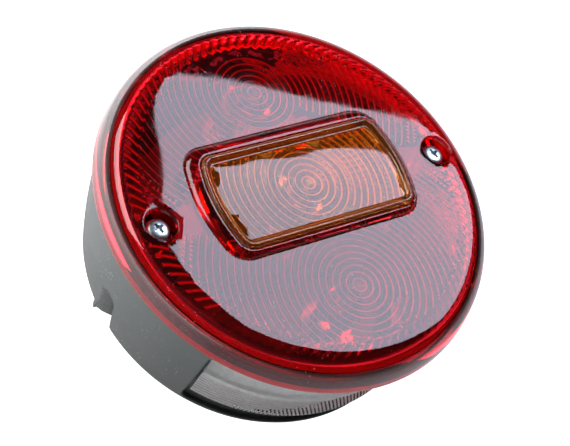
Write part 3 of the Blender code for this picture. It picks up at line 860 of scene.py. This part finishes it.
def add_amber_face(shape):
    """The window's slightly domed face; returns its loop of corners."""

    def lift(x, y):
        dome = 0.62 * (1 - (x / 38.0) ** 6) * (1 - (y / 15.0) ** 2)
        return (x, y, AMBER_FACE + max(0.0, dome) + 0.02 * sin(0.3 * x) * sin(0.4 * y + 1.0))

    outline = window_outline(3.7)
    return shape.sheet([outline], lift, in_region(honeycomb(36.0, 2.0), [outline], 0.8))[0]


def add_amber_underside(shape, roof):
    """The window's inner face with ring prisms; returns its loop of corners."""
    outline = window_outline(3.4)
    radii = [AMBER_PITCH * k for k in range(1, 15)]
    chains = ring_chains((0.0, 0.0), radii[:AMBER_FULL_RINGS], None, [outline], 0.5)
    chains += ring_chains((0.0, 0.0), radii[AMBER_FULL_RINGS:], AMBER_ARC + 6.0, [outline], 0.5)
    fill = in_region(honeycomb(36.0, 0.55), [outline], 0.5)
    fill = list(fill[distance(fill, chains) > 0.22])
    first_point = len(shape.points)
    first_face = len(shape.faces)
    loop = shape.sheet([outline], lambda x, y: (x, y, roof), fill, chains)[0]
    plan = np.array([point[:2] for point in shape.points[first_point:]])
    gaps = distance(plan, [outline])
    for index, gap in enumerate(gaps, first_point):
        x, y, z = shape.points[index]
        shape.points[index] = (x, y, z - amber_optics_depth(x, y, gap))
    shape.frost(first_face, amber_step)
    return loop


def make_amber_window(paint, frost):
    shape = Shape()
    roof = AMBER_FACE - 2.4
    bead = [(0.0, 59.2), (0.10, 59.95), (0.55, 60.65), (1.35, 61.0), (2.2, 60.7), (2.8, 60.2)]
    bead = smooth_path(bead + [(3.3, AMBER_FACE)], 3)
    bead = [(inset, min(z, AMBER_TOP)) for inset, z in bead]
    foot = [(0.0, AMBER_BASE + 0.2), (0.2, AMBER_BASE), (2.6, AMBER_BASE), (2.85, AMBER_BASE + 0.3)]
    foot += [(2.95, roof - 0.5), (3.05, roof - 0.12)]
    face = add_amber_face(shape)
    under = add_amber_underside(shape, roof)
    profile = bead[::-1] + foot
    shape.loft([[(x, y, z) for x, y in window_outline(inset)] for inset, z in profile], face, under)
    name, slot = "amber_window_moulding", "amber_plastic"
    return build(name, shape, paint, "lens", ["amber_window"], frost=frost)


# ---------------------------------------------------------------- housing


def sector_outline(low, high, half_angle, corner):
    """Rounded rectangle round -Y: distance along the wall, then height."""
    half = radians(half_angle) * ARC_RADIUS
    middle = (low + high) / 2
    tall = (high - low) / 2
    bends = []
    for cx, cy, first in ((1, 1, 0), (-1, 1, 90), (-1, -1, 180), (1, -1, 270)):
        across, up = cx * (half - corner), cy * (tall - corner)
        turns = [radians(first + 15 * k) for k in range(7)]
        bends.append([(across + corner * cos(t), up + corner * sin(t) + middle) for t in turns])
    outline = []
    for bend, following, steps in zip(bends, bends[1:] + bends[:1], (60, 20, 60, 20)):
        (s0, z0), (s1, z1) = bend[-1], following[0]
        outline += bend
        outline += [(s0 + (s1 - s0) * k / steps, z0 + (z1 - z0) * k / steps) for k in range(1, steps)]
    return outline


def wrap(along, z, radius):
    turn = radians(270.0) + along / ARC_RADIUS
    return (radius * cos(turn), radius * sin(turn), z)


def sector_block(stages):
    """Closed body from stages of (outline, radius rule), the first and last covered by curved ends."""
    shape = Shape()
    ends = []
    for outline, radius_at in (stages[0], stages[-1]):
        fill = in_region(honeycomb(70.0, 4.0), [outline], 1.5)
        ends.append(shape.sheet([outline], lambda s, z: wrap(s, z, radius_at(z)), fill)[0])
    middle = [[wrap(s, z, radius_at(z)) for s, z in outline] for outline, radius_at in stages[1:-1]]
    shape.loft(middle, ends[0], ends[1])
    return shape


def closed_loft(rings):
    """Skin through rings whose first and last are flat, so that each can be one face."""
    shape = Shape()
    loops = shape.loft(rings)
    shape.faces.append(tuple(reversed(loops[0])))
    shape.faces.append(tuple(loops[-1]))
    return shape


def plate_recess_cutter():
    """Recess for the plate window, with a rounded edge."""
    low, high = PLATE_RECESS_Z
    fillet = 0.8

    def grown(amount):
        half = PLATE_HALF_ANGLE + degrees(amount / ARC_RADIUS)
        return sector_outline(low - amount, high + amount, half, 2.0 + amount)

    stages = [(grown(-0.4), lambda z: PLATE_RECESS_RADIUS), (grown(0.0), lambda z: PLATE_RECESS_RADIUS + 0.4)]
    for k in range(5):
        turn = radians(20 * k)
        depth = fillet * (1 - sin(turn))
        stages.append((grown(fillet * (1 - cos(turn))), lambda z, depth=depth: wall_radius(z) - depth))
    stages.append((grown(fillet * 1.6), lambda z: wall_radius(z) + 0.8))
    return sector_block(stages)


def plate_opening_cutter():
    outline = sector_outline(*PLATE_OPENING_Z, PLATE_OPENING_ANGLE, 1.5)
    return sector_block([(outline, lambda z: 50.0), (outline, lambda z: 63.0)])


def plate_liner():
    """Second wall behind the recess, which the plate window's gasket sits on."""
    outline = sector_outline(1.5, 42.0, PLATE_HALF_ANGLE + 3.0, 0.6)
    return sector_block([(outline, lambda z: 56.0), (outline, lambda z: wall_radius(z) - 1.5)])


def arch(half_width, bottom, top, steps=16):
    """Inverted U in (y, z): straight sides under a half round head."""
    centre = top - half_width
    head = [pi * k / steps for k in range(steps + 1)]
    points = [(half_width * cos(t), centre + half_width * sin(t)) for t in head]
    side = [(half_width, bottom + (centre - bottom) * k / 6) for k in range(6)]
    return side + points + [(-y, z) for y, z in reversed(side)]


def skin_radius(z):
    """Radius of the drum's outside, with the rounding at its rear edge."""
    share = min(REAR_RISE, max(0.0, z)) / REAR_RISE
    return wall_radius(max(z, 0.0)) - REAR_ROUND * (1 - sqrt(1 - (1 - share) ** 2))


def notch_cutter():
    """Cable notch: its mouth flares towards +Y, then it opens into the cable's tunnel."""
    below = -6.0
    # Stages of the mouth: depth in the wall, sides in Y, top in Z
    mouth = ((-0.6, 1.7, -7.9, 22.9), (0.0, 0.9, -7.2, 22.3), (0.3, 0.3, -6.85, 21.8))
    mouth += ((1.2, -0.7, -6.6, 21.4), (2.4, -2.0, -6.5, 21.1), (3.6, -3.2, -6.5, 20.7))
    mouth += ((5.0, -3.8, -6.5, 20.3),)
    rings = [[(-80.0, y - 3.2, z) for y, z in arch(8.0, below, 27.0)]]
    for depth, left, right, top in mouth:
        ring = []
        for y, z in arch((left - right) / 2, below, top):
            y += (left + right) / 2
            ring.append((depth - sqrt(skin_radius(z) ** 2 - y * y), y, z))
        rings.append(ring)
    rings.append([(-50.5, y - 5.1, z) for y, z in arch(1.4, below, 20.0)])
    tunnel = arch(NOTCH_HALF_WIDTH, below, NOTCH_TOP)
    rings += [[(x, y, z) for y, z in tunnel] for x in (-46.5, TUNNEL_END_X - 2.5)]
    return closed_loft(rings)


def tube(radius, at, low, high, steps=32):
    shape = Shape()
    shape.turned([(0.0, low), (radius, low), (radius, high), (0.0, high)], steps, at)
    return shape


def housing_body():
    """The drum as one turned shell: rear, wall, rim with the seal's groove, inside, floor."""
    top = HOUSING_TOP
    rear = [(0.0, 0.0), (REAR_RADIUS - REAR_ROUND, 0.0)]
    for k in range(1, 6):
        turn = radians(90 * k / 5)
        radius = REAR_RADIUS - REAR_ROUND + REAR_ROUND * sin(turn) + 0.02 * k
        rear.append((radius, REAR_RISE - REAR_RISE * cos(turn)))
    wall = [(wall_radius(z), z) for z in np.linspace(2.6, top - 0.35, 22)]
    rim = [(wall_radius(top) - 0.12, top - 0.1), (wall_radius(top) - 0.4, top)]
    groove = [(66.4, top), (66.3, top - 0.15), (66.3, 42.2), (63.1, 42.2), (63.1, top - 0.15)]
    lip = [(62.95, top), (62.2, top), (62.0, top - 0.2), (62.0, 38.0)]
    inner = [(wall_radius(z) - WALL, z) for z in (28.0, 15.0, 5.0)]
    inner.append((wall_radius(3.0) - WALL - 0.4, 3.2))
    inner += [(wall_radius(FLOOR) - WALL - 1.2, FLOOR), (0.0, FLOOR)]
    shape = Shape()
    shape.turned(rear + wall + rim + groove + lip + inner, 240)
    return shape


def post_shape(at, radius, low, high, fillet=0.3, steps=28):
    near = fillet * 0.3
    profile = [(0.0, low), (radius, low), (radius, high - fillet), (radius - near, high - near)]
    profile += [(radius - fillet, high), (0.0, high)]
    shape = Shape()
    shape.turned(profile, steps, at)
    return shape


def make_housing(paint):
    """The drum, with the plate liner, cable tunnel and posts added, then its openings cut."""
    shell = build("housing_drum", housing_body(), paint, "housing", ["housing_shell"])
    additions = [plate_liner()]
    roof = arch(NOTCH_HALF_WIDTH + TUNNEL_WALL, 1.0, NOTCH_TOP + TUNNEL_WALL)
    additions.append(closed_loft([[(x, y, z) for y, z in roof] for x in (-58.5, TUNNEL_END_X)]))
    for x in (-SCREW_X, SCREW_X):
        additions.append(post_shape((x, 0.0), 6.2, 1.2, HOUSING_TOP - 0.2))
    for spot in POSTS:
        additions.append(post_shape(spot, 3.6, 1.2, CARRIER_LOW - 0.3))
    for spot in MOUNTING_HOLES:
        additions.append(post_shape(spot, 7.0, 1.2, 5.0, 0.5, 40))
    carve(shell, additions, "UNION")
    cuts = [plate_recess_cutter(), plate_opening_cutter(), notch_cutter()]
    for spot in MOUNTING_HOLES:
        cuts.append(tube(3.3, spot, -1.0, 8.0, 40))
    for spot in POSTS:
        cuts.append(tube(1.6, spot, 6.0, 20.0, 20))
    for x in (-SCREW_X, SCREW_X):
        cuts.append(tube(3.7, (x, 0.0), 32.0, 50.0))
        cuts.append(tube(2.4, (x, 0.0), 27.0, 32.6))
    bore = [[(x, y, z + 10.0) for y, z in circle(4.3, 28)] for x in (-45.0, -35.0)]
    cuts.append(closed_loft(bore))
    return carve(shell, cuts)


def plate_rib(z):
    """Rib number and the share of its pitch at a height, or None outside the ribbed field."""
    if not PLATE_RIB_END < z < PLATE_RIB_TOP:
        return None
    place = (PLATE_RIB_TOP - z) / PLATE_RIB_PITCH
    return int(place), place % 1.0


def plate_profile(low, high):
    """Outside of the plate window from its top edge down: slope, ridge, ribs, plain foot."""
    z = PLATE_RIB_TOP
    drop = high - 1.0 - PLATE_RIDGE_Z
    outside = [(62.05, high - 0.15), (62.2, high - 0.4)]
    outside += [(62.2 + 0.8 * t, high - 0.4 - drop * t) for t in (0.25, 0.5, 0.75, 1.0)]
    outside += [(63.1, PLATE_RIDGE_Z + 0.5), (63.5, PLATE_RIDGE_Z - 0.2), (62.9, PLATE_RIDGE_Z - 0.9)]
    while z - PLATE_RIB_PITCH > PLATE_RIB_END - 0.1:
        outside.append((61.95, z - 0.02))
        for radius, share in ((62.3, 0.25), (62.75, 0.55), (62.7, 0.7), (62.0, 0.92)):
            outside.append((radius, z - PLATE_RIB_PITCH * share))
        z -= PLATE_RIB_PITCH
    return outside + [(62.0, z - 0.3), (61.7, low + 0.3), (61.4, low)]


def plate_is_matt(x, y, z, share, step):
    """Whether a face is matt, at a place and at its share of the window's length."""
    radius = hypot(x, y)
    if radius < PLATE_INNER_RADIUS + 0.15:
        return z > PLATE_RIDGE_Z - 3.0
    rib = plate_rib(z)
    if rib is None or radius < 61.8:
        return radius > 62.9 and abs(z - PLATE_RIDGE_Z) < 0.9
    if z < PLATE_RIB_END + 1.0 + 13.0 * fade(share, 0.08, 0.5):
        return (step + rib[0]) % 2 == 0
    return 0.25 < rib[1] < 0.6


def make_plate_window(paint, frost):
    """Clear number plate window: a smooth slope, a bright ridge, then fine ribs and a knurl."""
    low, high = PLATE_LOW.z, PLATE_HIGH.z
    half = PLATE_HALF_ANGLE - 1.2
    foot = low + 0.2
    profile = plate_profile(low, high) + [(60.5, low)]
    profile += [(PLATE_INNER_RADIUS, foot + (high - low - 0.4) * k / 24) for k in range(24)]
    profile += [(PLATE_INNER_RADIUS, high - 0.2), (60.5, high)]
    steps = 300
    rings = []
    for k in range(steps + 1):
        turn = radians(270.0 - half + 2 * half * k / steps)
        rings.append([(radius * cos(turn), radius * sin(turn), z) for radius, z in profile])
    shape = Shape()
    loops = shape.loft(rings)
    for index, face in enumerate(shape.faces):
        x, y, z = (sum(shape.points[i][axis] for i in face) / len(face) for axis in range(3))
        share = (degrees(atan2(y, x)) % 360 - 270.0 + half) / (2 * half)
        if plate_is_matt(x, y, z, share, int(share * steps / 2)):
            shape.frosted.add(index)
    shape.faces += [tuple(reversed(loops[0])), tuple(loops[-1])]
    name, slot = "plate_window_moulding", "clear_plastic"
    return build(name, shape, paint, "housing", ["plate_window"], 25.0, frost)


# ---------------------------------------------------------------- bulbs


def rod(start, end, radius, steps=10):
    """Round bar between two points."""
    shape = Shape()
    a, b = Vector(start), Vector(end)
    axis = (b - a).normalized()
    side = axis.orthogonal().normalized()
    other = axis.cross(side)
    loops = []
    for centre in (a, b):
        ring = [centre + radius * (side * u + other * v) for u, v in circle(1.0, steps)]
        loops.append(shape.ring([tuple(p) for p in ring]))
    shape.bridge(loops[0], loops[1])
    shape.faces += [tuple(reversed(loops[0])), tuple(loops[1])]
    return shape


def join(shape, other):
    base = len(shape.points)
    shape.points += other.points
    shape.faces += [tuple(base + i for i in face) for face in other.faces]


def coil(centre, half_length, radius, wire, turns):
    """Helical filament lying along X."""
    shape = Shape()
    rings = []
    steps = turns * 14
    corners = (0.0, 2.09, 4.19)  # a three-sided wire, in radians
    for k in range(steps + 1):
        angle = 2 * pi * turns * k / steps
        x = -half_length + 2 * half_length * k / steps
        out = Vector((0.0, cos(angle), sin(angle)))
        middle = Vector(centre) + Vector((x, 0.0, 0.0)) + out * radius
        rings.append([tuple(middle + wire * (out * cos(t) + Vector((sin(t), 0.0, 0.0)))) for t in corners])
    loops = shape.loft(rings)
    shape.faces += [tuple(reversed(loops[0])), tuple(loops[-1])]
    return shape


def make_bulb(name, y, glass, metal):
    """Hollow glass with a filament on two supports, in place of the solid glass."""
    low, high = box_mm(f"{name}_bulb_glass")
    radius = (high.x - low.x) / 2
    hollow = radius - GLASS_WALL
    neck = 6.8
    centre = high.z - radius
    lowest = -asin(sqrt(1 - (neck / radius) ** 2))
    turns = [lowest + (pi / 2 - lowest) * k / 20 for k in range(20)]
    outer = [(0.0, low.z), (neck - 0.4, low.z), (neck, low.z + 0.3)]
    outer += [(radius * cos(t), max(low.z + 0.5, centre + radius * sin(t))) for t in turns]
    outer.append((0.0, high.z))
    inner = [(0.0, high.z - GLASS_WALL)]
    inner += [(hollow * cos(t), max(low.z + 2.4, centre + hollow * sin(t))) for t in reversed(turns[1:])]
    inner += [(neck - 0.8, low.z + 2.0), (2.2, low.z + 1.6), (1.6, low.z + 4.5), (0.0, low.z + 5.0)]
    envelope = Shape()
    envelope.turned(outer, 48, (0.0, y))
    cavity = Shape()
    cavity.turned(inner, 48, (0.0, y))
    join(envelope, cavity)
    body = f"{name}_bulb"
    build(f"{body}_envelope", envelope, glass, body, [f"{body}_glass"])
    filament_z = centre + 0.5
    wires = coil((0.0, y, filament_z), 3.2, 0.45, 0.11, 14)
    for side in (-1.0, 1.0):
        x = side * 3.2
        join(wires, rod((side, y, low.z + 5.4), (x, y, filament_z), 0.2))
        join(wires, rod((x, y, filament_z - 0.3), (x, y, filament_z + 0.7), 0.28))
    build(f"{body}_filament", wires, metal, body)


# ---------------------------------------------------------------- screws


def screw_profile(under):
    """Tip, threads as grooved rings, and the pan head above under."""
    profile = [(0.0, 30.0), (1.2, 30.0), (1.5, 30.6)]
    z = 31.0
    while z < 46.0:
        profile += [(1.55, z), (1.98, z + 0.28), (1.98, z + 0.36), (1.55, z + 0.64)]
        z += 0.7
    profile += [(1.7, z), (1.7, under - 0.2), (1.9, under), (SCREW_HEAD - 0.25, under)]
    profile += [(SCREW_HEAD, under + 0.25), (SCREW_HEAD, SCREW_TOP - 1.35)]
    for inset, drop in ((0.08, 1.05), (0.3, 0.72), (0.75, 0.4), (1.5, 0.15), (2.6, 0.02)):
        profile.append((SCREW_HEAD - inset, SCREW_TOP - drop))
    return profile + [(0.0, SCREW_TOP)]


def recess_slot(x, turn, arm, half):
    """One slot of the recess: it narrows towards its bottom."""
    spin = radians(turn + 20.0)
    rings = []
    for height, share in ((SCREW_TOP - 1.7, 0.35), (SCREW_TOP - 1.3, 0.55), (SCREW_TOP + 0.4, 1.0)):
        a, b = arm * share + 0.1, half * (0.55 + 0.45 * share)
        edge = [(u, -b) for u in (-a, -a * 0.5, a * 0.5, a)]
        corners = edge + [(u, b) for u, v in reversed(edge)]
        ring = [(x + u * cos(spin) - v * sin(spin), u * sin(spin) + v * cos(spin)) for u, v in corners]
        rings.append([(u, v, height) for u, v in ring])
    return closed_loft(rings)


def make_lens_screw(side, x, paint):
    """Pan head with a cross recess and four finer slots, and a threaded shank under it."""
    shape = Shape()
    shape.turned(screw_profile(SEAT_Z + 1.4), 56, (x, 0.0))
    name, body = f"pan_screw_{side}", f"{side}_screw"
    piece = build(name, shape, paint, body, [f"lens_screw_{side}"], 28.0)
    wide = [recess_slot(x, turn, 2.15, 0.52) for turn in (0.0, 90.0)]
    fine = [recess_slot(x, turn, 1.35, 0.16) for turn in (45.0, 135.0)]
    return carve(piece, wide + fine, sharp=28.0)


# ---------------------------------------------------------------- stage, light and camera


def make_stage():
    """Pale floor. Off camera it glows as painted light, most to the far left, and stays dark under the lamp
    as a painted shadow.
    """
    shape = Shape()
    shape.turned([(0.0, 0.0), (300.0, 0.0), (900.0, 0.0), (2400.0, 0.0)], 64, closed=False)
    paint = Paint("pale_floor", (0.86, 0.86, 0.87), 0.8)
    tone = paint.spread(paint.noise(3.0), 0.3, 0.7, 0.0, 1.0)
    paint.link(paint.blend(tone, (0.86, 0.86, 0.87), (0.88, 0.88, 0.88)), "Base Color")
    paint.set("Emission Color", (1.0, 1.0, 1.0, 1.0))
    # Painted light: off camera the floor glows from 0.5 to 4 times, strongest to the far left.
    painted_glow_leftward = paint.spread(paint.towards((-0.75, 0.66, 0.0)), 0.02, 0.24, 0.5, 4.0)
    reach = paint.node("ShaderNodeVectorMath", operation="LENGTH")
    paint.link(paint.place, reach.inputs[0])
    # Painted shadow: off camera the glow falls to nothing under the lamp and rises again just outside its
    # rear edge.
    outside_painted_shadow = paint.spread(reach.outputs["Value"], 0.050, 0.062, 0.0, 1.0)
    path = paint.node("ShaderNodeLightPath")
    choice = paint.node("ShaderNodeMix", data_type="FLOAT")
    paint.link(path.outputs["Is Camera Ray"], choice.inputs["Factor"])
    paint.link(paint.product(painted_glow_leftward, outside_painted_shadow), choice.inputs[2])
    choice.inputs[3].default_value = FLOOR_WHITE
    paint.link(choice.outputs[0], "Emission Strength")
    floor = build("floor", shape, paint.material, None)
    floor.location.z = -0.0002


def add_softbox(name, centre, turn, size, radiance, colour):
    """Level rectangular light, facing down."""
    light = bpy.data.lights.new(name, "AREA")
    light.shape = "RECTANGLE"
    light.size, light.size_y = size
    light.energy = radiance * pi * size[0] * size[1]
    light.color = colour
    lamp = bpy.data.objects.new(name, light)
    lamp.location = centre
    lamp.rotation_euler = (0.0, 0.0, turn)
    bpy.context.scene.collection.objects.link(lamp)


def make_lights():
    """One softbox is mirrored in the flat face, the other as a strip along the shoulder."""
    corner = Vector((0.430, 0.5245, 0.80))
    turn = radians(-23.5)
    size = (0.62, 0.50)
    along = Vector((cos(turn), sin(turn), 0.0))
    across = Vector((sin(turn), -cos(turn), 0.0))
    centre = corner + along * size[0] / 2 + across * size[1] / 2
    add_softbox("softbox", centre, turn, size, 8.0, (0.80, 0.81, 1.0))
    add_softbox("fill_softbox", (-0.58, 0.85, 0.80), radians(52.3), (1.10, 0.60), 7.5, (1.0, 0.96, 1.0))


def make_world():
    """White to the camera; for light and mirror images, a pale horizon under a dark ceiling."""
    world = bpy.data.worlds.new("studio")
    bpy.context.scene.world = world
    world.use_nodes = True
    world.node_tree.nodes.clear()
    nodes = Nodes(world.node_tree, "Generated")
    horizon = nodes.spread(nodes.towards((0.0, 0.0, 1.0)), -0.05, 0.25, 1.0, 0.03)
    side = nodes.spread(nodes.towards((0.966, -0.259, 0.0)), -0.6, 0.5, 2.2, 0.8)
    studio = nodes.node("ShaderNodeBackground")
    nodes.link(nodes.product(horizon, side), studio.inputs["Strength"])
    white = nodes.node("ShaderNodeBackground")
    white.inputs["Strength"].default_value = BACKDROP_WHITE
    path = nodes.node("ShaderNodeLightPath")
    mix = nodes.node("ShaderNodeMixShader")
    nodes.link(path.outputs["Is Camera Ray"], mix.inputs["Fac"])
    nodes.link(studio.outputs[0], mix.inputs[1])
    nodes.link(white.outputs[0], mix.inputs[2])
    output = nodes.node("ShaderNodeOutputWorld")
    nodes.link(mix.outputs[0], output.inputs["Surface"])


def make_camera():
    right = Vector((0.812857, -0.449968, 0.369855))
    up = Vector((0.230948, 0.831921, 0.504550))
    forward = Vector((0.534721, 0.324710, -0.780152))
    data = bpy.data.cameras.new("camera")
    data.lens = 100.0
    data.sensor_width = 36.0
    data.clip_start = 0.01
    camera = bpy.data.objects.new("camera", data)
    turn = Matrix((right, up, -forward)).transposed().to_4x4()
    camera.matrix_world = Matrix.Translation((-0.28872, -0.17719, 0.45656)) @ turn
    bpy.context.scene.collection.objects.link(camera)
    bpy.context.scene.camera = camera
    bpy.context.scene.view_settings.view_transform = "Standard"


# ---------------------------------------------------------------- the whole lamp


def finish_cad_nodes(paints):
    """The CAD nodes that keep their shape take the finish of their record slot."""
    slots = {part["node"]: part["material_slot"] for part in frame["record"]["subparts"]}
    for name, node in frame["nodes"].items():
        node.data.materials.clear()
        node.data.materials.append(paints[slots[name]])


def main():
    paints = make_paints()
    make_camera()
    make_stage()
    make_lights()
    make_world()
    finish_cad_nodes(paints)
    make_red_lens(paints["red_plastic"], frosted("red_steps", (0.88, 0.03, 0.05), (0.70, 0.02, 0.03)))
    make_amber_window(paints["amber_plastic"], frosted("amber_steps", (1.0, 0.55, 0.07), (0.88, 0.38, 0.04)))
    make_housing(paints["housing_plastic"])
    make_plate_window(paints["clear_plastic"], frosted("clear_steps", (0.80, 0.80, 0.79), (0.70, 0.70, 0.69)))
    for name, y in BULB_Y.items():
        make_bulb(name, y, paints["bulb_glass"], paints["tinned_steel"])
    for side, x in (("left", -SCREW_X), ("right", SCREW_X)):
        make_lens_screw(side, x, paints["zinc_plating"])


main()
